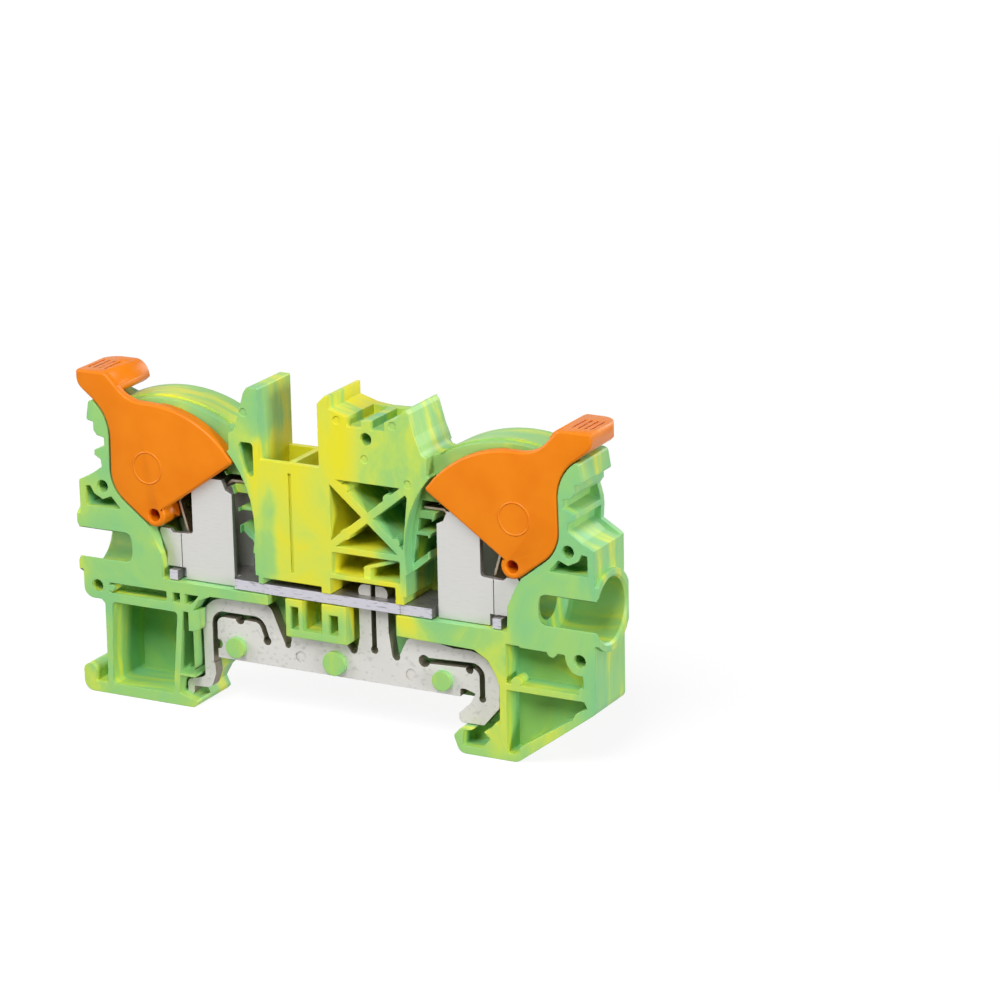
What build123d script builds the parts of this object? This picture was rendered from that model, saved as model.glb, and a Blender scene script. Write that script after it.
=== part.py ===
# Earth terminal block with two levers, for a 35 mm rail
#
# X runs along the block and is 0 over the middle of the rail, Y runs from the open front face
# (negative) to the closed back face (positive), Z is 0 at the rail's top and points up.
# Lengths are in millimetres.
from build123d import *
import os
from math import cos, radians, sin

# Driving dimensions
THICK = 7.5            # width of one block on the rail
BACK_WALL = 0.8
DATUM = 15.1           # height of the drawing datum above the rail's top
HALF_LENGTH = 34.5

PIVOT_X = 23.65        # lever pivots, both sides of the middle
PIVOT_Z = 2.3          # above the datum
PIN_R = 0.70
BORE_R = 0.78
BOSS_R = 1.45
FAN_R = 13.45
SWEEP_R = 13.75
PLATE_T = 0.9          # side plate of a lever
RIM_T = 1.5
SWEEP_DEPTH = 1.7
HANDLE_END = 7.4       # depth of the handle's far end
HANDLE_ROUND = 2.2
LEVER_EDGE = 0.2

BAR_TOP = -4.2         # busbar, below the datum
BAR_T = 1.2
BAR_FRONT = 0.3
BAR_BACK = 6.5
CAGE_FRONT = 1.1
CAGE_BACK = 6.3
STEEL_T = 0.7
LEAF_T = 0.3
WING_X = 20.75         # fold line of a cage's wing
FOOT_FRONT = 1.5
FOOT_T = 1.5
FUNNEL_Z = -2.2
FUNNEL_R = 3.75
FUNNEL_DEPTH = 3.3
PIN_SIDES = 12
STUDS = ((-13.75, -13.0, 1.15), (-0.4, -13.0, 1.35), (13.8, -13.0, 1.1))
EJECTORS = ((1.5, 16.8), (8.75, 16.95), (5.0, 12.6), (10.5, 10.3), (-10.9, 16.3))
PEGS = ((-30.7, 5.0), (30.7, 5.0), (-32.05, -7.5), (32.0, -7.65))
PEG_R = 0.65
PEG_HOLE_R = 0.78


def front(depth=0.0):
    """The drawing plane that lies this deep behind the open front face."""
    return Plane(origin=(0, depth - THICK / 2, DATUM), x_dir=(1, 0, 0), z_dir=(0, -1, 0))


def flip(points, side):
    """Points drawn for the right half, on the right (1) or the left (-1)."""
    return [(side * x, *rest) for x, *rest in points]


def places(points):
    """The points without their corner radii."""
    return [point[:2] for point in points]


def soften(shape, points):
    """Rounds each corner whose point has a radius as its third number."""
    for x, z, radius in (point for point in points if len(point) == 3):
        fillet(shape.vertices().sort_by_distance((x, z, 0))[0], radius)


def flat(points, depth=0.0, corner=0.0):
    """A straight-sided outline at a depth, its corners rounded alike or each by its own radius."""
    with BuildSketch(front(depth)) as shape:
        with BuildLine():
            Polyline(*places(points), close=True)
        make_face()
        if corner:
            fillet(shape.vertices(), corner)
        soften(shape, points)
    return shape.sketch


def box(x0, z0, x1, z1, depth=0.0, corner=0.0):
    """An upright rectangle between two corners at a depth."""
    x0, x1 = min(x0, x1), max(x0, x1)
    z0, z1 = min(z0, z1), max(z0, z1)
    return flat([(x0, z0), (x1, z0), (x1, z1), (x0, z1)], depth, corner)


def disc(x, z, radius, depth=0.0):
    """A round outline at a depth."""
    with BuildSketch(front(depth)) as shape:
        with Locations((x, z)):
            Circle(radius)
    return shape.sketch


def pin(x, z, radius, depth=0.0):
    """The outline of a small pin or mark, moulded or punched with twelve sides."""
    with BuildSketch(front(depth)) as shape:
        with Locations((x, z)):
            RegularPolygon(radius, PIN_SIDES)
    return shape.sketch


def cut(shape, depth):
    """A pocket that goes from the outline towards the back."""
    extrude(to_extrude=shape, amount=-depth, mode=Mode.SUBTRACT)


def fill(shape, depth):
    """A rib, floor or pin that goes from the outline towards the back."""
    extrude(to_extrude=shape, amount=-depth)


def polar(side, radius, angle):
    """A point at a radius from a pivot, the angle counted from upright towards the middle."""
    return (side * (PIVOT_X - radius * sin(radians(angle))), PIVOT_Z + radius * cos(radians(angle)))


def lever_outline(side, depth, grow=0.0):
    """The closed side plate of a lever with its boss, grown by a running gap."""
    tip = polar(side, FAN_R, 52.5)
    lift = polar(side, FAN_R + 0.15, -4)
    heel, waist, neck = (side * 27.6, 3.45), (side * 29.5, 7.0), (side * 29.4, 11.0)
    throat, brow, crown = (side * 31.4, 15.35), (side * 33.0, 16.6), (side * 33.75, 18.2)
    with BuildSketch(front(depth)) as shape:
        with BuildLine():
            Line((side * 24.7, 1.2), heel)
            ThreePointArc(heel, (side * 28.95, 5.0), waist)
            Line(waist, neck)
            ThreePointArc(neck, (side * 29.9, 13.4), throat)
            Line(throat, brow)
            ThreePointArc(brow, (side * 33.6, 17.35), crown)
            Polyline(crown, *flip([(33.75, 18.75), (33.55, 18.95), (29.9, 18.95), (29.35, 18.65),
                                   (28.1, 17.3)], side))
            ThreePointArc((side * 28.1, 17.3), (side * 26.6, 16.25), lift)
            ThreePointArc(lift, polar(side, FAN_R, 27), tip)
            Polyline(tip, polar(side, FAN_R + 0.05, 54.2), polar(side, FAN_R - 0.25, 55.3),
                     (side * (PIVOT_X - 1.2), PIVOT_Z + 0.8), (side * 24.7, 1.2))
        make_face()
        with Locations((side * PIVOT_X, PIVOT_Z)):
            Circle(BOSS_R)
        if grow:
            offset(amount=grow)
    return shape.sketch


def sector(side, inner, outer, start, stop, depth):
    """A ring sector about a pivot."""
    middle = (start + stop) / 2
    with BuildSketch(front(depth)) as shape:
        with BuildLine():
            ThreePointArc(polar(side, outer, start), polar(side, outer, middle), polar(side, outer, stop))
            Line(polar(side, outer, stop), polar(side, inner, stop))
            ThreePointArc(polar(side, inner, stop), polar(side, inner, middle), polar(side, inner, start))
            Line(polar(side, inner, start), polar(side, outer, start))
        make_face()
    return shape.sketch


def housing_outline():
    """The silhouette of the moulding without the wire collars, clockwise from the left foot."""
    end_left = [(-31.1, -9.6), (-31.6, -9.1), (-33.95, -9.1, 1.3), (-33.95, 5.6, 0.4),
                (-31.5, 7.1), (-31.6, 8.8, 0.3), (-31.5, 9.8), (-31.1, 11.2), (-31.55, 11.8),
                (-31.55, 12.8), (-32.5, 13.0, 0.3), (-32.1, 15.3, 0.4), (-31.4, 15.45), (-29.9, 14.9)]
    valley = (-12.55, 13.15, 1.0)
    middle = [(-11.7, 15.5), (-10.8, 18.6, 0.5), (-10.3, 19.35, 0.2), (-8.9, 19.35, 0.2),
              (-8.9, 10.9), (-1.0, 10.9), (-1.0, 18.5), (0.0, 19.5), (0.45, 19.5), (0.45, 18.0),
              (2.8, 17.3), (4.7, 17.1), (7.5, 17.2), (9.3, 17.9), (10.4, 19.1, 0.2), (10.8, 18.5),
              (11.5, 16.0), (12.0, 14.8)]
    end_right = [(29.9, 14.9), (31.4, 15.45), (32.1, 15.3, 0.4), (32.5, 13.0, 0.3), (31.55, 12.8),
                 (31.55, 11.8), (31.1, 11.2), (31.5, 9.8), (31.6, 8.8, 0.3), (31.5, 7.1),
                 (33.95, 5.6, 0.4), (33.95, -13.65, 1.0), (23.95, -20.95, 1.5), (16.5, -20.95, 1.2),
                 (15.75, -18.9, 0.4), (16.6, -17.95, 0.3), (17.75, -17.95), (17.75, -15.05),
                 (-17.75, -15.05), (-17.75, -17.1), (-18.3, -17.6), (-19.2, -19.2),
                 (-18.65, -20.4, 0.4), (-19.2, -20.95, 0.4), (-34.6, -20.95, 1.3)]
    curl_start, curl_end = (-34.6, -18.6), (-32.85, -18.5)
    foot_step = [curl_end, (-33.0, -19.65), (-31.2, -19.65, 0.3), end_left[0]]
    valley_right = (-valley[0], *valley[1:])
    with BuildSketch(front()) as shape:
        with BuildLine():
            Polyline(*places(end_left))
            ThreePointArc(end_left[-1], (-21.0, 16.3), (-14.0, 14.0))
            Polyline((-14.0, 14.0), *places([valley, *middle, valley_right]), (14.0, 14.0))
            ThreePointArc((14.0, 14.0), (21.0, 16.3), end_right[0])
            Polyline(*places(end_right), curl_start)
            ThreePointArc(curl_start, (-33.7, -17.55), curl_end)
            Polyline(*places(foot_step))
        make_face()
        soften(shape, [*end_left, valley, *middle, valley_right, *end_right, *foot_step])
    return shape.sketch


def cover_lip(side):
    """The room over the front edge of an arched cover, which lies a little lower than the rest."""
    with BuildSketch(front()) as shape:
        with BuildLine():
            ThreePointArc((side * 29.9, 14.7), (side * 21.0, 16.1), (side * 14.0, 13.8))
            Polyline((side * 14.0, 13.8), (side * 14.0, 17.5), (side * 29.9, 17.5), (side * 29.9, 14.7))
        make_face()
    return shape.sketch


# Housing
funnel_axis_point = (0, FUNNEL_DEPTH - THICK / 2, DATUM + FUNNEL_Z)
with BuildPart() as housing:
    fill(housing_outline(), THICK)
    # wire collars
    with BuildSketch(Plane.YZ.offset(-HALF_LENGTH)) as collar:
        with Locations((FUNNEL_DEPTH - THICK / 2, DATUM + FUNNEL_Z)):
            Circle(4.77)
        with Locations((0, DATUM + FUNNEL_Z)):
            Rectangle(THICK, 12, mode=Mode.INTERSECT)
    extrude(to_extrude=collar.sketch, amount=2 * HALF_LENGTH)
    # grooves of the marker channel, with a web towards the next block
    cut(box(2.8, 16.2, 4.7, 17.6), 6.3)
    cut(box(5.9, 16.2, 7.7, 17.6), 6.3)
    # shaft for bridges, with one partition
    cut(box(-8.9, -2.2, -1.0, 19.6, 0.8), THICK - 2 * 0.8)
    fill(box(-5.4, -2.2, -4.6, 10.9, 0.8), THICK - 2 * 0.8)
    # groove in the yellow panel
    cut(box(-5.2, -2.3, -4.8, 9.7), 0.25)
    # teardrop slot in the left wall
    cut(flat([(-11.4, 12.75), (-10.0, 12.75), (-9.75, 12.4), (-9.75, 8.9), (-10.2, 8.6),
              (-10.7, 9.0), (-11.1, 10.0), (-11.7, 12.3)], 0, 0.15), 4.0)
    # window with crossed ribs
    cut(flat([(0.3, 1.75), (9.65, 1.75), (10.4, 8.7), (9.6, 9.75), (0.3, 9.75)], 0, 0.25), 6.6)
    # lower window and the slot for the foot's tongue
    cut(box(0.3, -1.65, 9.25, 1.0, 0, 0.2), 6.6)
    for side in (-1, 1):
        # room for the lever's sweep
        cut(lever_outline(side, 0, 0.15), SWEEP_DEPTH)
        cut(sector(side, 0.3, SWEEP_R, -12, 106, 0), PLATE_T + 0.1)
        cut(sector(side, 11.3, SWEEP_R, -12, 106, 0), SWEEP_DEPTH)
        cut(flat(flip([(13.0, 17.2), (13.0, 11.6), (14.5, 10.6), (25.9, 13.5), (25.9, 17.2)], side)),
            SWEEP_DEPTH)
        cut(cover_lip(side), 2.9)
        # nick beside the valley, towards the next block
        cut(flat(flip([(12.0, 14.1), (13.5, 13.9), (12.85, 12.7)], side), THICK - 0.7), 0.7)
        # clamping chamber with its mechanism room
        cut(sector(side, 0.3, 11.2, -24, 100, 0), THICK - BACK_WALL)
        cut(sector(side, 0.3, 3.0, 90, 155, 0), THICK - BACK_WALL)
        cut(disc(side * PIVOT_X, PIVOT_Z, BOSS_R + 0.2), THICK - BACK_WALL)
        # rows of slots for end labels, with a web towards the next block
        cut(flat(flip([(33.0, 11.2), (30.9, 11.2), (30.15, 11.0), (30.15, 10.0), (31.5, 9.4),
                       (33.0, 9.4)], side)), THICK - 0.8)
        cut(flat(flip([(34.5, 8.8), (31.6, 8.8), (30.75, 8.3), (30.65, 7.4), (32.4, 6.2),
                       (34.5, 5.2)], side)), THICK - 0.8)
        cut(flat(flip([(24.9, 1.2), (24.1, 0.0), (23.0, -2.4), (22.9, -5.5), (13.3, -5.5), (13.3, 6.5),
                       (20.0, 8.0), (24.9, 4.0)], side), 0, 0.3), THICK - BACK_WALL)
        # openings between the cage and the centre wall
        cut(flat(flip([(13.5, -5.5), (9.6, -5.5), (9.6, -3.2), (10.0, -3.2), (10.0, -0.6), (13.5, 2.2)],
                      side)), THICK - BACK_WALL)
        cut(flat(flip([(13.5, 3.1), (10.15, 0.5), (10.6, 3.95), (13.5, 3.95)], side)), THICK - BACK_WALL)
        cut(flat(flip([(13.5, 4.35), (10.7, 4.35), (11.0, 6.0), (13.5, 6.0)], side)), THICK - BACK_WALL)
        cut(flat(flip([(14.2, 6.95), (11.15, 6.95), (11.4, 8.15), (14.2, 8.15)], side)), THICK - BACK_WALL)
        # hinge pin
        fill(disc(side * PIVOT_X, PIVOT_Z, PIN_R, 3.4), THICK - 3.4 - BACK_WALL / 2)
        # wire funnel: a wide mouth that narrows to the cage
        with BuildSketch(Plane(origin=funnel_axis_point, x_dir=(1, 0, 0), z_dir=(0, -1, 0))) as funnel:
            with BuildLine():
                Polyline(*flip([(22.5, 0), (35.0, 0), (35.0, FUNNEL_R + 0.5), (34.5, FUNNEL_R + 0.3),
                                (34.2, FUNNEL_R), (27.8, FUNNEL_R), (27.25, FUNNEL_R - 0.1),
                                (26.95, FUNNEL_R - 0.35), (26.8, 3.0), (26.5, 2.2), (22.5, 2.2)],
                               side), close=True)
            make_face()
        revolve(profiles=funnel.sketch, axis=Axis(funnel_axis_point, (1, 0, 0)), mode=Mode.SUBTRACT)
        # pocket round the boss of the hole above the funnel
        cut(flat(flip([(33.1, 4.8), (32.4, 4.9), (31.9, 4.0), (30.7, 3.4), (29.5, 3.9), (28.2, 2.4),
                       (33.15, 2.4)], side), 0, 0.12), 3.0)
    # channel for the busbar and the legs that hold it down
    cut(box(-13.3, -5.55, 13.3, -4.15), THICK - BACK_WALL)
    cut(box(-9.0, -4.2, -1.15, -3.4), THICK - BACK_WALL)
    cut(box(0.0, -4.2, 8.6, -2.2), THICK - BACK_WALL)
    for x0, x1 in ((-12.4, -9.0), (9.0, 12.4)):
        fill(box(x0, -5.6, x1, BAR_TOP - BAR_T, 0.6), 5.4)
    # crossed ribs, bumps and the peg in the windows
    for points in ([(0.3, 1.75), (0.95, 1.75), (10.3, 9.1), (10.3, 9.75), (9.5, 9.75), (0.3, 2.4)],
                   [(0.3, 9.75), (0.3, 9.1), (9.0, 1.75), (9.7, 1.75), (9.8, 2.3), (1.1, 9.75)]):
        fill(flat(points, 0), THICK - BACK_WALL)
    for x, z in ((2.0, 8.6), (7.9, 8.2), (2.2, 3.3), (8.6, 3.0)):
        fill(pin(x, z, 0.65), 3.0)
    fill(flat([(4.3, -1.7), (5.2, -1.7), (5.2, -0.5), (9.3, 0.9), (9.3, 1.1), (8.4, 1.1), (4.3, -0.4)], 0.4),
         THICK - BACK_WALL - 0.4)
    # hole in the tower
    cut(disc(5.25, 15.0, 0.75), 5.0)
    # room for the rail foot
    cut(flat([(-8.5, -5.5), (-6.1, -5.5), (-6.1, -10.1), (1.95, -10.1), (1.95, -5.5), (8.6, -5.5),
              (8.6, -8.0), (18.6, -8.2), (20.3, -9.2), (21.3, -10.8), (21.75, -12.0), (21.8, -15.2),
              (21.2, -16.6), (20.2, -17.95), (15.5, -17.95), (15.5, -15.3), (-18.85, -15.3),
              (-18.85, -8.9), (-17.9, -7.4), (-16.3, -6.75), (-8.5, -6.7)]), FOOT_FRONT + FOOT_T + 0.1)
    cut(flat([(-17.0, -15.2), (-18.85, -15.2), (-18.95, -17.2), (-21.0, -17.2), (-21.3, -19.4),
              (-19.6, -20.0), (-17.0, -20.0)]), FOOT_FRONT + FOOT_T + 0.1)
    # finger over the left arm of the foot
    fill(flat([(-19.5, -8.9), (-17.9, -8.6), (-18.0, -11.3, 0.65), (-19.5, -11.3, 0.65)]), FOOT_FRONT - 0.2)
    for x, z, radius in STUDS:
        fill(pin(x, z, radius - 0.15, FOOT_FRONT), FOOT_T + 0.5)
        fill(disc(x, z, radius + 0.1, FOOT_FRONT - 0.7), 0.7)
    # centre box over the foot
    cut(box(-5.5, -9.2, -4.4, -6.4), 4.0)
    cut(box(-3.85, -9.2, -1.25, -5.5), 4.0)
    cut(box(-0.35, -9.2, 0.9, -6.75), 4.0)
    # left end: hollow box, groove, windows and finger over the foot
    cut(flat([(-30.1, -9.3), (-21.0, -9.3), (-21.8, -17.5), (-21.85, -19.6), (-30.5, -19.65)], 0, 0.5), 6.9)
    cut(flat([(-19.5, -9.1), (-20.25, -9.1), (-20.95, -16.9), (-18.9, -16.9), (-18.9, -11.4),
              (-19.5, -11.4)]), THICK - BACK_WALL)
    cut(box(-30.4, -8.2, -22.4, -6.9, 0, 0.15), 2.2)
    fill(pin(-30.1, -7.55, 0.42), 2.2)
    cut(box(-21.6, -8.1, -20.55, -6.9), 4.0)
    cut(flat([(-19.9, -6.9), (-18.0, -6.9), (-19.0, -8.1), (-19.9, -8.1)]), 4.0)
    # right end: two ribbed pockets
    cut(flat([(22.65, -6.9), (24.3, -6.95), (24.5, -7.1), (30.1, -7.15), (30.4, -8.3), (31.1, -9.15),
              (31.6, -9.35), (32.4, -9.4), (32.5, -11.65), (22.65, -11.65)], 0, 0.12), 3.1)
    cut(flat([(22.65, -12.4), (32.5, -12.4), (32.9, -13.2), (31.4, -14.0), (31.0, -14.8),
              (24.3, -19.1), (24.0, -20.0), (22.65, -20.05)], 0, 0.15), 3.1)
    fill(pin(28.5, -7.1, 0.6), 3.1)
    fill(pin(32.2, -11.3, 0.5), 3.1)
    fill(pin(23.9, -11.4, 0.65), 2.0)
    cut(box(20.9, -16.7, 21.75, -15.2), 2.0)
    # marks of the ejector pins
    for x, z in EJECTORS:
        cut(pin(x, z, 0.5), 0.08)
    # pegs on the back, and the holes that take those of the next block
    for x, z in PEGS:
        cut(pin(x, z, PEG_HOLE_R), 5.0)
        fill(pin(x, z, PEG_R, THICK), 0.8)
    cut(flat([(16.9, -20.0), (17.0, -18.2), (18.4, -17.9), (19.6, -17.9), (20.5, -18.7),
              (19.3, -20.0)], 0, 0.15), 3.0)

# Busbar
with BuildPart() as busbar:
    with BuildSketch(Plane.XY.offset(DATUM + BAR_TOP)) as strip:
        with Locations((0, (BAR_FRONT + BAR_BACK) / 2 - THICK / 2)):
            Rectangle(26.2, BAR_BACK - BAR_FRONT)
            Rectangle(18.0, BAR_BACK - BAR_FRONT + 0.2)
        with Locations((0, (CAGE_FRONT + CAGE_BACK) / 2 - THICK / 2)):
            Rectangle(44.0, CAGE_BACK - CAGE_FRONT - 2 * STEEL_T - 0.2)
        for side in (-1, 1):
            with Locations((side * 21.45, (BAR_FRONT + BAR_BACK) / 2 - THICK / 2)):
                Rectangle(1.1, BAR_BACK - BAR_FRONT)
        with Locations((4.775, FOOT_FRONT + FOOT_T / 2 - THICK / 2)):
            Rectangle(4.1, FOOT_T + 0.1, mode=Mode.SUBTRACT)
    extrude(amount=-BAR_T)

# Rail foot
foot_edge = [(-16.2, -14.7, 0.4), (15.9, -14.7), (15.9, -13.7, 0.3), (16.6, -13.7), (17.9, -14.1),
             (17.2, -15.3, 0.3), (15.7, -16.7, 0.4), (15.75, -17.85, 0.5), (18.9, -17.8, 0.4),
             (20.95, -15.4, 0.5), (20.95, -8.85, 4.0), (15.2, -9.0), (12.7, -8.6, 1.0),
             (9.2, -8.6, 1.0), (8.1, -10.9), (8.1, -11.2), (7.1, -11.2), (6.7, -8.2), (6.7, -4.25),
             (2.85, -4.25), (2.85, -9.4), (2.5, -11.2), (1.5, -11.2), (1.0, -10.6), (-6.2, -10.6),
             (-6.5, -11.9), (-7.2, -11.8), (-9.1, -7.3, 1.0), (-18.8, -7.3, 3.2), (-18.4, -12.5),
             (-18.4, -17.4, 0.6), (-20.9, -18.1, 0.6), (-20.9, -19.8, 0.4), (-20.0, -19.8, 0.4),
             (-20.0, -18.8), (-17.6, -18.7, 0.8), (-16.9, -16.8), (-17.1, -14.7)]
foot_lobes = [(-9.65, -11.7, 0.55), (11.3, -11.1, 0.75), (4.775, -10.7, 0.5), (2.0, -11.1, 0.5),
              (7.65, -11.1, 0.5), (-6.85, -11.8, 0.4), (18.8, -14.6, 0.45)]
foot_dips = [(-13.3, -9.6, 0.6), (17.2, -11.3, 0.5), (-16.4, -13.0, 0.6)]
foot_marks = [(-5.14, -13.03, 0.7), (9.52, -13.03, 0.7)]
foot_slots = [[(-9.6, -11.6), (-10.4, -9.25), (-16.8, -9.25), (-16.8, -15.5)],
              [(11.3, -11.0), (18.8, -10.7), (18.8, -14.6)]]
with BuildPart() as foot:
    fill(flat(foot_edge, FOOT_FRONT), FOOT_T)
    # split head of the tongue
    fill(box(2.85, -4.6, 6.7, -2.9, FOOT_FRONT, 0.8), FOOT_T)
    cut(box(4.45, -10.6, 5.1, -2.0, FOOT_FRONT), FOOT_T)
    # slots that let the arms spring
    for line in foot_slots:
        with BuildSketch(front(FOOT_FRONT)) as slot:
            with BuildLine():
                FilletPolyline(*line, radius=1.3)
            trace(line_width=0.7)
        cut(slot.sketch, FOOT_T)
    for x, z, radius in foot_lobes + foot_dips:
        cut(pin(x, z, radius, FOOT_FRONT), FOOT_T)
    for x, z, radius in foot_marks:
        cut(pin(x, z, radius, FOOT_FRONT), 0.1)
    for x, z, radius in STUDS:
        cut(pin(x, z, radius - 0.15, FOOT_FRONT), FOOT_T)

# Cages and springs
cages = {}
springs = {}
for side, word in ((-1, "left"), (1, "right")):
    with BuildPart() as cage:
        sheet = flip([(13.55, -5.4), (20.2, -5.4), (20.2, -4.0), (22.9, -4.1), (22.9, -2.5), (23.9, 0.1),
                      (23.6, 0.5), (22.3, 0.5), (21.9, 0.1), (19.2, 0.3), (19.05, 0.6), (19.05, 7.4),
                      (14.9, 7.4), (14.4, 6.2), (13.55, 5.8)], side)
        fill(flat(sheet, CAGE_FRONT), STEEL_T)
        fill(flat(sheet, CAGE_BACK - STEEL_T), STEEL_T)
        fill(box(side * 15.0, 6.7, side * 19.0, 7.4, CAGE_FRONT), CAGE_BACK - CAGE_FRONT)
        # the wing leans back from its fold line
        front_face = CAGE_FRONT - THICK / 2
        with BuildSketch(Plane.XY.offset(DATUM - 4.7)) as lean:
            with BuildLine():
                Polyline((side * WING_X, front_face), (side * 24.2, front_face),
                         (side * 24.2, front_face + 0.4), close=True)
            make_face()
        extrude(to_extrude=lean.sketch, amount=6.0, mode=Mode.SUBTRACT)
        cut(box(side * WING_X, -4.0, side * (WING_X - 0.12), 0.15, CAGE_FRONT), 0.25)
    cages[word] = cage
    with BuildPart() as leaf:
        with BuildSketch(front(2.1)) as strip:
            with BuildLine():
                Polyline(*flip([(11.4, 7.2), (14.0, 7.2), (15.2, 6.2)], side))
                ThreePointArc((side * 15.2, 6.2), (side * 18.9, 5.9), (side * 21.4, 3.9))
                Line((side * 21.4, 3.9), (side * 19.2, -3.6))
            trace(line_width=LEAF_T)
        fill(strip.sketch, 3.2)
    springs[word] = leaf

# Levers
levers = {}
for side, word in ((-1, "left"), (1, "right")):
    with BuildPart() as lever:
        fill(lever_outline(side, 0), PLATE_T)
        fill(sector(side, 11.6, FAN_R, 4, 51, PLATE_T), RIM_T - PLATE_T)
        # hollow journal with its cam
        fill(disc(side * PIVOT_X, PIVOT_Z, BOSS_R), 6.5)
        fill(sector(side, 1.0, 2.2, 25, 100, 2.1), 3.3)
        # handle over the whole width, half round below
        with BuildSketch(front(PLATE_T - 0.1)) as grip:
            with BuildLine():
                Polyline(*flip([(33.4, 17.0), (33.75, 18.2), (33.75, 18.75), (33.55, 18.95),
                                (29.7, 18.95)], side))
                ThreePointArc((side * 29.7, 18.95), (side * 28.55, 18.2), (side * 28.1, 16.9))
                ThreePointArc((side * 28.1, 16.9), (side * 30.9, 15.75), (side * 33.4, 17.0))
            make_face()
        fill(grip.sketch, HANDLE_END - PLATE_T + 0.1)
        # rounded outer corner and grip grooves of the handle
        with BuildSketch(Plane.XY.offset(DATUM + 19.2)) as corner:
            with Locations((side * 34.0, HANDLE_END - THICK / 2)):
                Rectangle(2 * HANDLE_ROUND, 2 * HANDLE_ROUND)
            with Locations((side * (33.75 - HANDLE_ROUND), HANDLE_END - THICK / 2 - HANDLE_ROUND)):
                Circle(HANDLE_ROUND, mode=Mode.SUBTRACT)
        extrude(to_extrude=corner.sketch, amount=-4.5, mode=Mode.SUBTRACT)
        for i in range(4):
            cut(box(side * (30.5 + 0.75 * i), 18.8, side * (30.8 + 0.75 * i), 19.2, 1.6), 3.6)
        # broken front edge
        front_plate = lever.faces().filter_by(Axis.Y).sort_by(Axis.Y)[0]
        chamfer(front_plate.outer_wire().edges(), LEVER_EDGE)
        cut(disc(side * PIVOT_X, PIVOT_Z, BORE_R, -0.1), THICK)
    levers[word] = lever

os.makedirs("parts", exist_ok=True)
pieces = {"housing": housing, "busbar": busbar, "rail foot": foot,
          "lever left": levers["left"], "lever right": levers["right"],
          "cage left": cages["left"], "cage right": cages["right"],
          "clamping spring left": springs["left"], "clamping spring right": springs["right"]}
for name, piece in pieces.items():
    piece.part.label = name
    export_step(piece.part, "parts/" + name.replace(" ", "_") + ".step")
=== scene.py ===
# %% [markdown]
# # Earth terminal block
# A slim green and yellow block that clips on a mounting rail. Two orange levers clamp the earth
# wires, and the open side shows the steel cages, the busbar and the spring steel foot. The solid
# model is loaded first as a frame. Every piece is in metres there and already in its place, so
# the cells below give the pieces their finish and round the levers, and none of them moves a
# piece.

# %% Load the frame
import bmesh
import bpy
from math import cos, pi, radians, sin
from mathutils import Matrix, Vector


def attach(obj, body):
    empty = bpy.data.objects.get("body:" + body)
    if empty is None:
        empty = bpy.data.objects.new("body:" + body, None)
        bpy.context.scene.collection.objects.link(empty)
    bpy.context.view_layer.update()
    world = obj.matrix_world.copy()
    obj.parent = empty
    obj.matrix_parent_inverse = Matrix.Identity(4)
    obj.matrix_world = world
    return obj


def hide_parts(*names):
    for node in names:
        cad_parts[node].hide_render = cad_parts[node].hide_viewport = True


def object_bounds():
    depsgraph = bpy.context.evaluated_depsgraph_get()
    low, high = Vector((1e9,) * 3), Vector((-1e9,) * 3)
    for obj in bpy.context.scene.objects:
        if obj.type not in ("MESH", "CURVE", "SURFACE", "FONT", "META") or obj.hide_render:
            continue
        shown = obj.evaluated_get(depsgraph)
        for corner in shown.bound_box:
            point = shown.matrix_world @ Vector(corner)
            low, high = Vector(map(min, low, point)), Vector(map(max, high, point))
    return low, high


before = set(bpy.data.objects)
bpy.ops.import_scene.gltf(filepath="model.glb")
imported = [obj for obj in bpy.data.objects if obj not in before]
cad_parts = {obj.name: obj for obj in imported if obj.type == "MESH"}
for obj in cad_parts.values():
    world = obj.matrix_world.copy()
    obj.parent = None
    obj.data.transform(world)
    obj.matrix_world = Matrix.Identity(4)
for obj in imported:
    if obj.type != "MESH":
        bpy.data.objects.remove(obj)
cad_low, cad_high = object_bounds()
bpy.ops.object.select_all(action="DESELECT")
MM = 0.001
print("CAD nodes:", sorted(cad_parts))

# %% [markdown]
# ## Colours
# Hex colours are sRGB, while Blender's sockets want linear light. Each
# colour could be converted by hand, but one function does it for all and leaves the hex value to
# read.

# %% Convert a colour
def linear(hex_colour):
    """An sRGB hex colour as a linear RGBA tuple, with the numbers of the sRGB standard."""
    channels = []
    for i in (1, 3, 5):
        c = int(hex_colour[i:i + 2], 16) / 255
        channels.append(c / 12.92 if c <= 0.04045 else ((c + 0.055) / 1.055) ** 2.4)
    return (*channels, 1.0)


print("middle grey #808080 is", round(linear("#808080")[0], 3), "in linear light")

# %% [markdown]
# ## Nodes
# A material is a tree of nodes. It could be clicked together in the shader editor. Here one
# function adds a node, sets it and links it, so that each material reads as a list from top to
# bottom. Patterns read Object coordinates, made millimetres, so that their scales are real sizes.

# %% Add nodes and materials
def add_node(tree, kind, settings=None, inputs=None):
    """Adds a node; an input is a plain value, a socket, or a node with one thing to give."""
    node = tree.nodes.new(kind)
    for name, value in (settings or {}).items():
        setattr(node, name, value)
    for name, value in (inputs or {}).items():
        if isinstance(value, bpy.types.Node):
            value = value.outputs[0]
        if isinstance(value, bpy.types.NodeSocket):
            tree.links.new(value, node.inputs[name])
        else:
            node.inputs[name].default_value = value
    return node


def new_material(name):
    """A material with an empty node tree."""
    material = bpy.data.materials.new(name)
    material.use_nodes = True
    material.node_tree.nodes.clear()
    return material, material.node_tree


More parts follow.
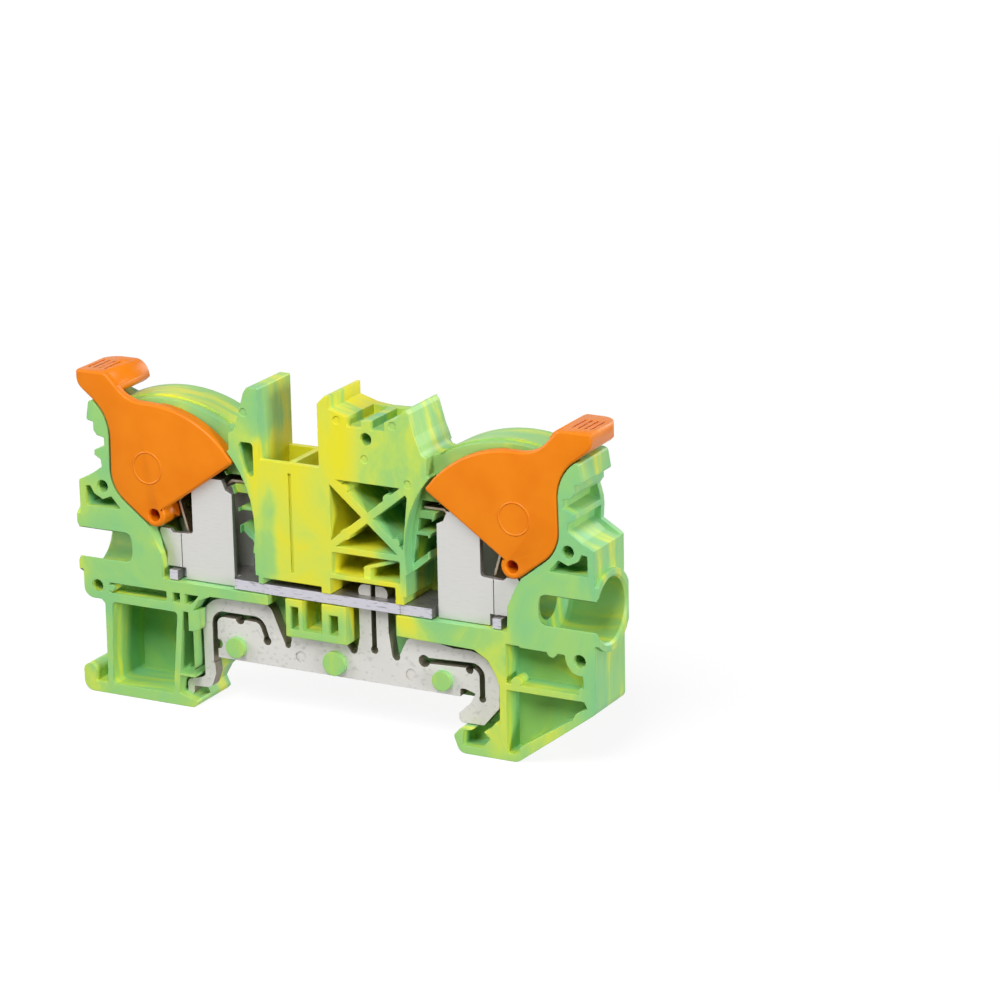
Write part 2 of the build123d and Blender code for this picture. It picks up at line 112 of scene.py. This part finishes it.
def in_millimetres(tree):
    """Object coordinates in millimetres."""
    place = add_node(tree, "ShaderNodeTexCoord").outputs["Object"]
    return add_node(tree, "ShaderNodeMapping",
                    inputs={"Vector": place, "Scale": (1 / MM, 1 / MM, 1 / MM)})


def wear(obj, material):
    """Gives an object one material in place of all it has."""
    obj.data.materials.clear()
    obj.data.materials.append(material)


print("one millimetre is", MM, "of Blender's units")

# %% [markdown]
# ## Polyamide in green and yellow
# The housing is moulded polyamide. Green and yellow granules melt side by side in the screw and
# flow into the mould as streaks, so the colour runs through the material. A painted picture would
# need an unwrapped mesh and would end at each edge, while noise on Object coordinates runs
# through corners and pockets as the real colour does. Two noises build the streaks. One makes the
# soft clouds on the two flat sides. The other is squeezed along the depth and makes the layers
# that show as bands on the arched covers and end faces. A slow swirl pushes both about, as the
# melt does at a corner.

# %% Flow streaks
ADD = {"operation": "ADD"}
SOFT = {"interpolation_type": "SMOOTHSTEP"}
STREAK_SHIFT = (10.8, 1.4, 1.7)
LAYER_SHIFT = (13.5, 10.25, 12.6)


def flow_streaks(tree, place):
    """How yellow the melt is, from 0.18 to 0.82, with 0.5 on the whole."""
    # swirls of about 12 mm push the streaks about
    swirl = add_node(tree, "ShaderNodeTexNoise",
                     inputs={"Vector": place, "Scale": 0.085, "Detail": 1.5})
    push = add_node(tree, "ShaderNodeVectorMath", {"operation": "MULTIPLY_ADD"},
                    {0: swirl.outputs["Color"], 1: (14, 5, 14), 2: place})
    # clouds about 10 mm wide and 17 mm tall, which lean a little
    stretched = add_node(tree, "ShaderNodeMapping",
                         inputs={"Vector": push, "Location": STREAK_SHIFT,
                                 "Rotation": (0, radians(-18), 0), "Scale": (0.10, 0.3, 0.06)})
    clouds = add_node(tree, "ShaderNodeTexNoise",
                      inputs={"Vector": stretched, "Scale": 1.0, "Detail": 5.0,
                              "Roughness": 0.6, "Distortion": 0.3})
    soft_clouds = add_node(tree, "ShaderNodeMapRange", SOFT,
                           {"Value": clouds.outputs["Fac"], "From Min": 0.2, "From Max": 0.8,
                            "To Min": 0.32, "To Max": 0.68})
    # layers about 1.5 mm thick, one behind the other, as the melt folded
    fold = add_node(tree, "ShaderNodeVectorMath", {"operation": "MULTIPLY_ADD"},
                    {0: swirl.outputs["Color"], 1: (6, 3.3, 6), 2: place})
    layers = add_node(tree, "ShaderNodeMapping",
                      inputs={"Vector": fold, "Location": LAYER_SHIFT,
                              "Scale": (0.05, 0.65, 0.05)})
    bands = add_node(tree, "ShaderNodeTexNoise",
                     inputs={"Vector": layers, "Scale": 1.0, "Detail": 2.0,
                             "Roughness": 0.5, "Distortion": 0.2})
    soft_bands = add_node(tree, "ShaderNodeMapRange", SOFT,
                          {"Value": bands.outputs["Fac"], "From Min": 0.25, "From Max": 0.75,
                           "To Min": -0.14, "To Max": 0.14})
    return add_node(tree, "ShaderNodeMath", ADD, {0: soft_clouds, 1: soft_bands})


print("clouds shifted by", STREAK_SHIFT, "and layers by", LAYER_SHIFT)

# %% [markdown]
# ### The yellow middle
# More yellow lies in the middle of the block, where the melt met. Chance alone would not put it
# there, so soft fades by place add it: a slanted one on the right, one along the flat panel on
# the left and one below. All their places are in millimetres.

# %% Yellow middle
SUBTRACT = {"operation": "SUBTRACT"}
MULTIPLY = {"operation": "MULTIPLY"}
LARGER = {"operation": "MAXIMUM"}
SMALLER = {"operation": "MINIMUM"}


def yellow_middle(tree, axes):
    """The yellow that the middle has on top of the streaks, up to 0.27."""
    # its right edge leans left up to the tower
    tower_height = add_node(tree, "ShaderNodeMath", SMALLER, {0: axes.outputs["Z"], 1: 23.0})
    right_lean = add_node(tree, "ShaderNodeMath", MULTIPLY, {0: tower_height, 1: 0.6})
    right_way = add_node(tree, "ShaderNodeMath", ADD, {0: axes.outputs["X"], 1: right_lean})
    right_fade = add_node(tree, "ShaderNodeMapRange", SOFT,
                          {"Value": right_way, "From Min": 15.0, "From Max": 19.0,
                           "To Min": 0.27, "To Max": 0.0})
    # its left edge is the side of the panel, and it ends above the panel
    past_panel = add_node(tree, "ShaderNodeMath", SUBTRACT, {0: axes.outputs["Z"], 1: 26.0})
    over_panel = add_node(tree, "ShaderNodeMath", LARGER, {0: past_panel, 1: 0.0})
    panel_slope = add_node(tree, "ShaderNodeMath", MULTIPLY, {0: axes.outputs["Z"], 1: 0.16})
    left_lean = add_node(tree, "ShaderNodeMath", SUBTRACT, {0: panel_slope, 1: over_panel})
    left_way = add_node(tree, "ShaderNodeMath", ADD, {0: axes.outputs["X"], 1: left_lean})
    left_fade = add_node(tree, "ShaderNodeMapRange", SOFT,
                         {"Value": left_way, "From Min": -8.2, "From Max": -5.6})
    low_fade = add_node(tree, "ShaderNodeMapRange", SOFT,
                        {"Value": axes.outputs["Z"], "From Min": 6.0, "From Max": 11.0})
    both_sides = add_node(tree, "ShaderNodeMath", MULTIPLY, {0: right_fade, 1: left_fade})
    return add_node(tree, "ShaderNodeMath", MULTIPLY, {0: both_sides, 1: low_fade})


print("the middle's fades are ready")

# %% [markdown]
# ### Covers and wisp
# Two smaller things are fixed by place as well. Some yellow runs over the arched covers and the
# tops of both ends. And a wisp of green stands in the yellow beside the panel's left edge, a line
# of melt that came late. It could be one more noise, but a noise would not stop at the panel.

# %% Yellow tops and green wisp
ABSOLUTE = {"operation": "ABSOLUTE"}


def yellow_tops(tree, axes):
    """The yellow over the arched covers and the tops of both ends, up to 0.04."""
    sideways = add_node(tree, "ShaderNodeMath", ABSOLUTE, {0: axes.outputs["X"]})
    outwards = add_node(tree, "ShaderNodeMapRange", SOFT,
                        {"Value": sideways, "From Min": 12.0, "From Max": 15.0,
                         "To Min": 0.0, "To Max": 0.04})
    upwards = add_node(tree, "ShaderNodeMapRange", SOFT,
                       {"Value": axes.outputs["Z"], "From Min": 26.0, "From Max": 29.5})
    return add_node(tree, "ShaderNodeMath", MULTIPLY, {0: outwards, 1: upwards})


def green_wisp(tree, axes):
    """The yellow that the wisp takes away, up to 0.2."""
    from_line = add_node(tree, "ShaderNodeMath", ADD, {0: axes.outputs["X"], 1: 8.1})
    beside = add_node(tree, "ShaderNodeMath", ABSOLUTE, {0: from_line})
    from_height = add_node(tree, "ShaderNodeMath", SUBTRACT, {0: axes.outputs["Z"], 1: 17.0})
    above_or_below = add_node(tree, "ShaderNodeMath", ABSOLUTE, {0: from_height})
    across = add_node(tree, "ShaderNodeMapRange", SOFT,
                      {"Value": beside, "From Min": 0.3, "From Max": 1.7,
                       "To Min": 0.2, "To Max": 0.0})
    along = add_node(tree, "ShaderNodeMapRange", SOFT,
                     {"Value": above_or_below, "From Min": 3.0, "From Max": 8.0,
                      "To Min": 1.0, "To Max": 0.0})
    return add_node(tree, "ShaderNodeMath", MULTIPLY, {0: across, 1: along})


print("tops and wisp are ready")

# %% [markdown]
# ### Colour and surface
# The amount of yellow picks a tone from a ramp, because two pure colours mixed evenly would look
# duller than the melt does. Moulded polyamide is satin, about 0.42 rough, and scatters light
# below its skin, so it has a soft gloss and clear colours. Its mould leaves slightly round edges.
# They could be bevelled, but on this finely ribbed piece a bevel in the shading shows them as
# well.

# %% Marbled polyamide
FLOW_COLOURS = ((0.32, "#7FC082"), (0.44, "#8DC678"), (0.54, "#9DCB6E"), (0.61, "#B5D45E"),
                (0.68, "#CFD94E"), (0.76, "#DAD93E"), (0.86, "#E1DA2A"))


def marbled_polyamide():
    """Green and yellow moulded polyamide with flow streaks."""
    material, tree = new_material("marbled polyamide, moulded")
    place = in_millimetres(tree)
    axes = add_node(tree, "ShaderNodeSeparateXYZ", inputs={"Vector": place})
    with_middle = add_node(tree, "ShaderNodeMath", ADD,
                           {0: flow_streaks(tree, place), 1: yellow_middle(tree, axes)})
    with_tops = add_node(tree, "ShaderNodeMath", ADD, {0: with_middle, 1: yellow_tops(tree, axes)})
    amount = add_node(tree, "ShaderNodeMath", SUBTRACT, {0: with_tops, 1: green_wisp(tree, axes)})
    colour = add_node(tree, "ShaderNodeValToRGB", inputs={"Fac": amount})
    stops = colour.color_ramp.elements
    for stop, (position, tone) in zip(stops, (FLOW_COLOURS[0], FLOW_COLOURS[-1])):
        stop.position, stop.color = position, linear(tone)
    for position, tone in FLOW_COLOURS[1:-1]:
        stops.new(position).color = linear(tone)
    rounded = add_node(tree, "ShaderNodeBevel", {"samples": 6}, {"Radius": 0.12 * MM})
    shader = add_node(tree, "ShaderNodeBsdfPrincipled",
                      inputs={"Base Color": colour, "Roughness": 0.42, "IOR": 1.53,
                              "Specular IOR Level": 0.3, "Normal": rounded})
    add_node(tree, "ShaderNodeOutputMaterial", inputs={"Surface": shader})
    return material


polyamide = marbled_polyamide()
wear(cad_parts["housing"], polyamide)
print("housing wears", polyamide.name)

# %% [markdown]
# ## Orange polyamide
# The levers are moulded in one orange colour that goes through the material. The mould was spark
# eroded, so the surface has a grain of a few hundredths of a millimetre, a little glossier than
# the housing. The grain could be a mesh of dents, but a bump shows as much. It is drawn about 0.3
# mm wide, because a finer one would not show. Slow clouds of 4 mm change the orange by a hair.

# %% Orange polyamide
ORANGE_TONES = ((0.35, "#E17905"), (0.65, "#E6800C"))


def orange_polyamide():
    """Orange moulded polyamide with a fine spark-eroded grain."""
    material, tree = new_material("orange polyamide, moulded")
    place = in_millimetres(tree)
    grain = add_node(tree, "ShaderNodeTexNoise",
                     inputs={"Vector": place, "Scale": 3.0, "Detail": 3.0})
    cloud = add_node(tree, "ShaderNodeTexNoise",
                     inputs={"Vector": place, "Scale": 0.25, "Detail": 2.0})
    colour = add_node(tree, "ShaderNodeValToRGB", inputs={"Fac": cloud.outputs["Fac"]})
    for stop, (position, tone) in zip(colour.color_ramp.elements, ORANGE_TONES):
        stop.position, stop.color = position, linear(tone)
    rounded = add_node(tree, "ShaderNodeBevel", {"samples": 6}, {"Radius": 0.1 * MM})
    bump = add_node(tree, "ShaderNodeBump",
                    inputs={"Height": grain.outputs["Fac"], "Strength": 0.25,
                            "Distance": 0.02 * MM, "Normal": rounded})
    shader = add_node(tree, "ShaderNodeBsdfPrincipled",
                      inputs={"Base Color": colour, "Roughness": 0.38, "IOR": 1.53,
                              "Specular IOR Level": 0.22, "Normal": bump})
    add_node(tree, "ShaderNodeOutputMaterial", inputs={"Surface": shader})
    return material


orange = orange_polyamide()
print("made", orange.name)

# %% [markdown]
# ## Levers
# A lever is one moulding: a flat fan over the open side, a hollow journal below it and a handle
# at the top. It could be built up from a cylinder and a box, but its solid already has the
# outline that clears the housing. That solid has hard edges, while a moulded grip has round ones
# that catch the light. So a copy of its mesh is joined up and its flat faces are merged, and
# edges are picked by their place and the angle between their faces.

# %% Copy a solid's mesh to work on
MERGE_DISTANCE = 0.02 * MM
FLUSH_ANGLE = radians(1.5)


def working_copy(node, name):
    """A copy of a CAD mesh with its doubles merged and its flat faces joined, in edit mode."""
    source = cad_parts[node]
    piece = bpy.data.objects.new(name, source.data.copy())
    bpy.context.scene.collection.objects.link(piece)
    bpy.ops.object.select_all(action="DESELECT")
    piece.select_set(True)
    bpy.context.view_layer.objects.active = piece
    bpy.ops.object.mode_set(mode="EDIT")
    bpy.ops.mesh.select_all(action="SELECT")
    bpy.ops.mesh.remove_doubles(threshold=MERGE_DISTANCE)
    bpy.ops.mesh.dissolve_limited(angle_limit=FLUSH_ANGLE)
    bpy.ops.mesh.select_all(action="DESELECT")
    return piece


def select_edges(piece, wanted):
    """Selects the edges of a piece in edit mode for which wanted(edge) is true, and counts them."""
    bpy.ops.mesh.select_mode(type="EDGE")
    mesh = bmesh.from_edit_mesh(piece.data)
    for edge in mesh.edges:
        edge.select_set(wanted(edge))
    bmesh.update_edit_mesh(piece.data)
    return sum(edge.select for edge in mesh.edges)


print("points closer than", MERGE_DISTANCE / MM, "mm become one")

# %% [markdown]
# ### Round edges
# Two sets of edges are bevelled in edit mode: the rim of the plate and the far end of the handle.
# A Bevel modifier would round every edge, also those of the grip grooves, which are sharp. The
# rounded copy then stands for the solid, which stays for collision, hidden.

# %% Round the levers
FRONT_Y = -3.75 * MM
RIM_DEPTH = 0.21 * MM  # just past the chamfer round the plate
RIM_ANGLE = radians(25)
RIM_ROUND = 0.11 * MM
HANDLE_FOOT_Z = 30.8 * MM
GROOVES_END_Y = 1.5 * MM
HANDLE_ANGLE = radians(60)
HANDLE_ROUND = 0.15 * MM
SMOOTH_ANGLE = radians(32)


def on_the_rim(edge):
    """The two edges of the chamfer round the front plate."""
    depth = max(abs(v.co.y - FRONT_Y) for v in edge.verts)
    return depth < RIM_DEPTH and edge.calc_face_angle(0.0) > RIM_ANGLE


def on_the_handle(edge):
    """The sharp edges round the far end of the handle, past its grip grooves."""
    middle = (edge.verts[0].co + edge.verts[1].co) / 2
    return (middle.z > HANDLE_FOOT_Z and middle.y > GROOVES_END_Y
            and edge.calc_face_angle(0.0) > HANDLE_ANGLE)


levers = {}
for side in ("left", "right"):
    lever = working_copy("lever_" + side, "lever_" + side + "_moulding")
    rim = select_edges(lever, on_the_rim)
    bpy.ops.mesh.bevel(offset=RIM_ROUND, segments=3, profile=0.5, clamp_overlap=False)
    handle = select_edges(lever, on_the_handle)
    bpy.ops.mesh.bevel(offset=HANDLE_ROUND, segments=3, profile=0.5, clamp_overlap=True)
    bpy.ops.object.mode_set(mode="OBJECT")
    bpy.ops.object.shade_smooth_by_angle(angle=SMOOTH_ANGLE)
    levers[side] = lever
    print(lever.name, "rim edges", rim, "handle edges", handle, "faces", len(lever.data.polygons))

# %% [markdown]
# ## Ring on the lever
# A thin ring stands on each plate, round a bare flat place. A bump could draw it, but then the
# mesh would be flat there, so it is a bead of its own, 0.2 mm wide and 0.07 mm proud of the
# plate. A torus is flattened along the depth, the half behind the plate's face is cut off with a
# bisect, but for a short root, and it is joined to the lever.

# %% Add the rings
RING_Z = 23.1 * MM
RING_RADIUS = 1.9 * MM
BEAD_RADIUS = 0.1 * MM
BEAD_FLATNESS = 0.7
BEAD_ROOT = 0.03 * MM
for side, ring_x in (("left", -24.3 * MM), ("right", 24.0 * MM)):
    bpy.ops.object.select_all(action="DESELECT")
    bpy.ops.mesh.primitive_torus_add(major_radius=RING_RADIUS, minor_radius=BEAD_RADIUS,
                                     major_segments=64, minor_segments=10,
                                     location=(ring_x, FRONT_Y, RING_Z), rotation=(pi / 2, 0, 0))
    bpy.ops.object.transform_apply(location=True, rotation=True, scale=True)
    bpy.ops.object.mode_set(mode="EDIT")
    bpy.ops.mesh.select_all(action="SELECT")
    bpy.ops.transform.resize(value=(1, BEAD_FLATNESS, 1), center_override=(0, FRONT_Y, 0))
    bpy.ops.mesh.bisect(plane_co=(0, FRONT_Y + BEAD_ROOT, 0), plane_no=(0, 1, 0),
                        clear_outer=True, use_fill=False)
    bpy.ops.object.mode_set(mode="OBJECT")
    bpy.ops.object.shade_smooth()
    levers[side].select_set(True)
    bpy.context.view_layer.objects.active = levers[side]
    bpy.ops.object.join()
    wear(levers[side], orange)
    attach(levers[side], side + "_lever")
    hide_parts("lever_" + side)
    print(levers[side].name, "has its ring,", len(levers[side].data.polygons), "faces")

# %% [markdown]
# ## Plated metal
# Cages, foot, busbar and springs are stamped from plated strip. Plating on rolled strip is bright
# but not a mirror: 0.3 to 0.5 rough, with faint rolling marks 0.7 to 1.7 mm long and small dark
# specks where dirt sits in the pores. Thick dull plating scatters light like paint, so the
# metallic share is below one. Where the strip was sheared, the edges are rough, bare and
# brownish. They could have a material of their own, face by face, but the normal in object space
# tells the strip's faces from its edges, so one material gives both tones.

# %% Plated strip
def plated_metal(name, face, edge, roughness, marks_scale, metallic, speck_start, speck_tone):
    """Plated strip metal with faint rolling marks and duller sheared edges."""
    material, tree = new_material(name)
    place = in_millimetres(tree)
    facing = add_node(tree, "ShaderNodeTexCoord").outputs["Normal"]
    turned = add_node(tree, "ShaderNodeSeparateXYZ", inputs={"Vector": facing})
    across = add_node(tree, "ShaderNodeMath", ABSOLUTE, {0: turned.outputs["Y"]})
    on_face = add_node(tree, "ShaderNodeMapRange", SOFT,
                       {"Value": across, "From Min": 0.35, "From Max": 0.6})
    rolled = add_node(tree, "ShaderNodeMapping", inputs={"Vector": place, "Scale": marks_scale})
    marks = add_node(tree, "ShaderNodeTexNoise",
                     inputs={"Vector": rolled, "Scale": 1.0, "Detail": 4.0})
    spotted = add_node(tree, "ShaderNodeMapRange", SOFT,
                       {"Value": marks.outputs["Fac"], "From Min": speck_start,
                        "From Max": speck_start + 0.12, "To Min": 1.0, "To Max": speck_tone})
    tone = add_node(tree, "ShaderNodeMix", {"data_type": "RGBA"},
                    {"Factor": on_face, 6: linear(edge), 7: linear(face)})
    shade = add_node(tree, "ShaderNodeMix", {"data_type": "RGBA", "blend_type": "MULTIPLY"},
                     {"Factor": 1.0, 6: tone.outputs[2], 7: spotted})
    rough = add_node(tree, "ShaderNodeMapRange", SOFT,
                     {"Value": marks.outputs["Fac"], "From Min": 0.3, "From Max": 0.7,
                      "To Min": roughness - 0.06, "To Max": roughness + 0.08})
    rounded = add_node(tree, "ShaderNodeBevel", {"samples": 6}, {"Radius": 0.07 * MM})
    bump = add_node(tree, "ShaderNodeBump",
                    inputs={"Height": marks.outputs["Fac"], "Strength": 0.3,
                            "Distance": 0.012 * MM, "Normal": rounded})
    shader = add_node(tree, "ShaderNodeBsdfPrincipled",
                      inputs={"Base Color": shade.outputs[2], "Metallic": metallic,
                              "Roughness": rough, "Normal": bump})
    add_node(tree, "ShaderNodeOutputMaterial", inputs={"Surface": shader})
    return material


print("plated strip is ready")

# %% [markdown]
# ### Four metals
# Each metal takes its tones, its roughness and its marks from the same function, because all are
# rolled strip and differ in their plating only. The springs are bare stainless steel, so they are
# nearly all metal and the glossiest.

# %% Metals for cages, foot, busbar and springs
# zinc is cool and even, with hardly a speck
cage_steel = plated_metal("zinc plated steel strip", face="#CECDCA", edge="#A8A6A4",
                          roughness=0.42, marks_scale=(0.6, 3.0, 9.0), metallic=0.6,
                          speck_start=0.5, speck_tone=0.97)
# dull nickel is pale and almost white, with grey spots and brown sheared edges
foot_steel = plated_metal("nickel plated spring steel", face="#D3D1CC", edge="#7F7868",
                          roughness=0.5, marks_scale=(1.5, 3.0, 2.0), metallic=0.35,
                          speck_start=0.56, speck_tone=0.84)
# tin is faintly violet, and its scratches are dark
tinned = plated_metal("tinned copper bar", face="#C9C7D0", edge="#8C8888",
                      roughness=0.34, marks_scale=(0.8, 4.0, 6.0), metallic=0.6,
                      speck_start=0.56, speck_tone=0.5)
# bare stainless strip is warm, and darker and glossier than the plated ones
spring_steel = plated_metal("stainless spring strip", face="#A89A88", edge="#9A7C5E",
                            roughness=0.3, marks_scale=(0.6, 6.0, 2.0), metallic=0.9,
                            speck_start=0.5, speck_tone=0.9)
for name, metal in (("cage_left", cage_steel), ("cage_right", cage_steel),
                    ("rail_foot", foot_steel), ("busbar", tinned),
                    ("clamping_spring_left", spring_steel),
                    ("clamping_spring_right", spring_steel)):
    wear(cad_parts[name], metal)
    print(name, "wears", metal.name)

# %% [markdown]
# ## Floor
# The block stands on its feet on a pale board. Strong light could make the board white, but it
# would burn out the block's colours. So the board glows instead, and only for the rays that look
# at it: straight, in a reflection or through something clear. Otherwise it lights nothing, and it
# still takes the shadow. Near the block the lamps light it too, so it glows a little less there.

# %% Finish of the board
BOARD_GREY = (0.14, 0.14, 0.14, 1)
WHITE = (1, 1, 1, 1)
GLOW_AT_BLOCK = 0.88


def white_to_see(tree):
    """1 for the rays that look at the backdrop, and 0 for those that carry light."""
    path = add_node(tree, "ShaderNodeLightPath")
    mirrored = add_node(tree, "ShaderNodeMath", LARGER,
                        {0: path.outputs["Is Camera Ray"], 1: path.outputs["Is Glossy Ray"]})
    return add_node(tree, "ShaderNodeMath", LARGER,
                    {0: mirrored, 1: path.outputs["Is Transmission Ray"]})


def backdrop_board():
    """A pale board that looks white to the camera and in reflections, and keeps the shadow."""
    material, tree = new_material("pale backdrop board")
    away = add_node(tree, "ShaderNodeVectorMath", {"operation": "LENGTH"},
                    {0: in_millimetres(tree)}).outputs["Value"]
    strength = add_node(tree, "ShaderNodeMapRange", SOFT,
                        {"Value": away, "From Min": 120.0, "From Max": 700.0,
                         "To Min": GLOW_AT_BLOCK, "To Max": 1.0})
    board = add_node(tree, "ShaderNodeBsdfDiffuse", inputs={"Color": BOARD_GREY})
    glow = add_node(tree, "ShaderNodeEmission", inputs={"Color": WHITE, "Strength": strength})
    both = add_node(tree, "ShaderNodeAddShader", inputs={0: board, 1: glow})
    mix = add_node(tree, "ShaderNodeMixShader", inputs={0: white_to_see(tree), 1: board, 2: both})
    add_node(tree, "ShaderNodeOutputMaterial", inputs={"Surface": mix})
    return material


board_finish = backdrop_board()
print("made", board_finish.name)

# %% Lay the floor
FLOOR_Z = cad_low[2]
bpy.ops.object.select_all(action="DESELECT")
bpy.ops.mesh.primitive_plane_add(size=6.0, location=(0, 0, FLOOR_Z))
floor = bpy.context.active_object
floor.name = "floor"
floor.data.materials.append(board_finish)
print("floor at", round(FLOOR_Z / MM, 2), "mm")

# %% [markdown]
# ## Light
# Small plastic parts are photographed in a light tent. A bright sky all round would do the same,
# but it would fill the pockets that give the open side its depth. So the sky is nearly dark,
# though it looks white, and four soft lamps light the block: one from above the open side, one
# from each end, and one for the closed side, which the camera doesn't see here. Their power is
# set so that each colour renders about as written.

# %% Sky
SKY_LIGHT = 0.02
world = bpy.data.worlds.new("soft studio")
bpy.context.scene.world = world
world.use_nodes = True
world_tree = world.node_tree
world_tree.nodes.clear()
sky = add_node(world_tree, "ShaderNodeBackground", inputs={"Color": WHITE, "Strength": SKY_LIGHT})
white = add_node(world_tree, "ShaderNodeBackground", inputs={"Color": WHITE, "Strength": 1.0})
seen = add_node(world_tree, "ShaderNodeMixShader",
                inputs={0: white_to_see(world_tree), 1: sky, 2: white})
add_node(world_tree, "ShaderNodeOutputWorld", inputs={"Surface": seen})
print("sky light", SKY_LIGHT)

# %% Lamps
LAMP_TARGET = Vector((0, 0, 10 * MM))


def soft_lamp(name, place, width, watts):
    """A square area lamp that looks at the block and stands in no picture."""
    data = bpy.data.lights.new(name, "AREA")
    data.size = width
    data.energy = watts
    lamp = bpy.data.objects.new(name, data)
    bpy.context.scene.collection.objects.link(lamp)
    lamp.location = place
    lamp.visible_camera = False
    lamp.rotation_euler = (LAMP_TARGET - Vector(place)).to_track_quat("-Z", "Y").to_euler()


soft_lamp("key lamp", place=(0.08, -0.50, 0.60), width=0.35, watts=5.1)
soft_lamp("right lamp", place=(0.76, -0.26, 0.11), width=0.20, watts=4.2)
soft_lamp("left lamp", place=(-0.66, -0.34, 0.34), width=0.35, watts=3.7)
soft_lamp("back lamp", place=(0.30, 0.95, 0.34), width=0.60, watts=5.5)
print("lamps:", [light.name for light in bpy.data.lights])

# %% [markdown]
# ## Camera
# The camera stands well back with a long lens, so that the block's sides stay nearly parallel, as
# in a catalogue picture. It could be placed by eye. Here its place, direction and slight tilt
# were fitted to points of the block in the photograph, so that the render lies exactly over it.

# %% Camera
CAMERA_PLACE = Vector((220.74, -376.32, 154.91)) * MM
AZIMUTH, ELEVATION, ROLL = radians(28.038), radians(17.092), radians(-1.110)
towards_camera = Vector((sin(AZIMUTH) * cos(ELEVATION), -cos(AZIMUTH) * cos(ELEVATION),
                         sin(ELEVATION)))
camera_data = bpy.data.cameras.new("camera")
camera_data.sensor_width = 36.0
camera_data.lens = 142.70
camera_data.clip_start = 0.01
camera = bpy.data.objects.new("camera", camera_data)
bpy.context.scene.collection.objects.link(camera)
camera.location = CAMERA_PLACE
camera.rotation_euler = (-towards_camera).to_track_quat("-Z", "Y").to_euler()
camera.rotation_euler.rotate_axis("Z", ROLL)
bpy.context.scene.camera = camera
bpy.context.scene.view_settings.view_transform = "Standard"
print("camera", round(CAMERA_PLACE.length, 3), "m away, lens", camera_data.lens)
